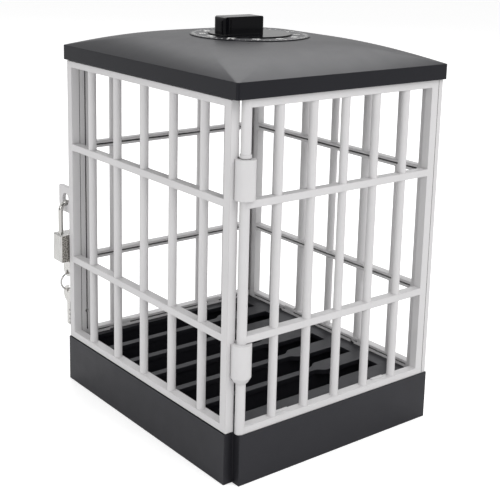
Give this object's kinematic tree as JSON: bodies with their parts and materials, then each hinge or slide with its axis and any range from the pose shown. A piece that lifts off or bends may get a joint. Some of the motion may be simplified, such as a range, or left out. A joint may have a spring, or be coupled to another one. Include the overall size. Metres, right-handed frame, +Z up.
{
  "type": "phone lock box",
  "caption": "Tabletop barred cage with phone slots in its base, a hinged door with padlock, and a wind-up timer under a domed roof.",
  "frame": {"origin": "centre of the underside, where the box stands on a table", "axes": "+Z up, the door on the -Y side with its hinge at +X, the padlock at -X"},
  "size_m": [0.1645, 0.1329, 0.2071],
  "materials": {
    "base_plastic": "fine satin grain",
    "panel_plastic": "smooth light grey moulding",
    "roof_plastic": "fine satin grain",
    "dial_print": "satin with printed marks",
    "knob_plastic": "gloss",
    "case_plastic": "satin",
    "steel": "turned",
    "plate_steel": "brushed",
    "movement_brass": "stamped",
    "spring_steel": "tempered",
    "bell_steel": "polished",
    "shackle_steel": "polished",
    "lock_metal": "brushed nickel",
    "plug_brass": "turned",
    "key_metal": "nickel",
    "ring_metal": "nickel"
  },
  "bodies": {
    "cage": {"base_tray": "base_plastic", "base_cover": "base_plastic", "base_screws": "steel", "right_panel": "panel_plastic", "back_panel": "panel_plastic", "left_panel": "panel_plastic", "strike_ear": "panel_plastic", "roof_shell": "roof_plastic", "dial_plate": "dial_print", "timer_case": "case_plastic", "timer_screws": "steel", "movement_plate": "plate_steel", "plate_screws": "steel", "bell": "bell_steel"},
    "door": {"door_panel": "panel_plastic", "door_ear": "panel_plastic"},
    "winder": {"timer_knob": "knob_plastic", "knob_spindle": "steel", "main_wheel": "movement_brass", "mainspring": "spring_steel"},
    "second_arbor": {"second_pinion": "steel", "second_wheel": "movement_brass"},
    "escape_arbor": {"escape_pinion": "steel", "escape_wheel": "movement_brass"},
    "pallet": {"pallet_lever": "steel"},
    "hammer": {"bell_hammer": "steel"},
    "shackle_arm": {"shackle": "shackle_steel"},
    "lock": {"lock_body": "lock_metal", "retaining_pin": "steel"},
    "key": {"lock_plug": "plug_brass", "lock_key": "key_metal"},
    "ring": {"key_ring": "ring_metal"},
    "spare": {"spare_key": "key_metal"}
  },
  "joints": [
    {"name": "door_hinge", "type": "hinge", "parent": "cage", "child": "door", "pos_m": [0.07225, -0.057, 0.095], "axis": [0, 0, 1], "range_deg": [0, 165]},
    {"name": "knob_turn", "type": "hinge", "parent": "cage", "child": "winder", "pos_m": [0, 0, 0.187], "axis": [0, 0, -1], "range_deg": [0, 330]},
    {"name": "second_turn", "type": "hinge", "parent": "cage", "child": "second_arbor", "pos_m": [-0.01691, -0.00616, 0.187], "axis": [0, 0, -1], "range_deg": [-1650, 0]},
    {"name": "escape_turn", "type": "hinge", "parent": "cage", "child": "escape_arbor", "pos_m": [-0.01211, -0.01715, 0.187], "axis": [0, 0, -1], "range_deg": [0, 6600]},
    {"name": "pallet_rock", "type": "hinge", "parent": "cage", "child": "pallet", "pos_m": [0.00284, -0.02081, 0.187], "axis": [0, 0, 1], "range_deg": [-3, 3]},
    {"name": "hammer_swing", "type": "hinge", "parent": "cage", "child": "hammer", "pos_m": [0.02186, 0.00385, 0.187], "axis": [0, 0, 1], "range_deg": [0, 12]},
    {"name": "padlock_swing", "type": "hinge", "parent": "door", "child": "shackle_arm", "pos_m": [-0.0802, -0.0611, 0.1022], "axis": [0, 1, 0], "range_deg": [0, 100]},
    {"name": "lock_slide", "type": "slide", "parent": "shackle_arm", "child": "lock", "axis": [0, 0, -1], "range_m": [0, 0.007]},
    {"name": "key_turn", "type": "hinge", "parent": "lock", "child": "key", "pos_m": [-0.0802, -0.0611, 0.06772], "axis": [0, 0, 1], "range_deg": [0, 90]},
    {"name": "ring_swing", "type": "hinge", "parent": "key", "child": "ring", "pos_m": [-0.0802, -0.0611, 0.06042], "axis": [0, 1, 0], "range_deg": [0, 50]},
    {"name": "spare_key_swing", "type": "hinge", "parent": "ring", "child": "spare", "pos_m": [-0.0802, -0.0611, 0.05032], "axis": [0, 1, 0], "range_deg": [0, 50]}
  ],
  "couplings": [
    {"joint": "second_turn", "follows": "knob_turn", "ratio": -5},
    {"joint": "escape_turn", "follows": "knob_turn", "ratio": 20},
    {"joint": "key_turn", "follows": "lock_slide", "rad_per_m": 224.4}
  ]
}
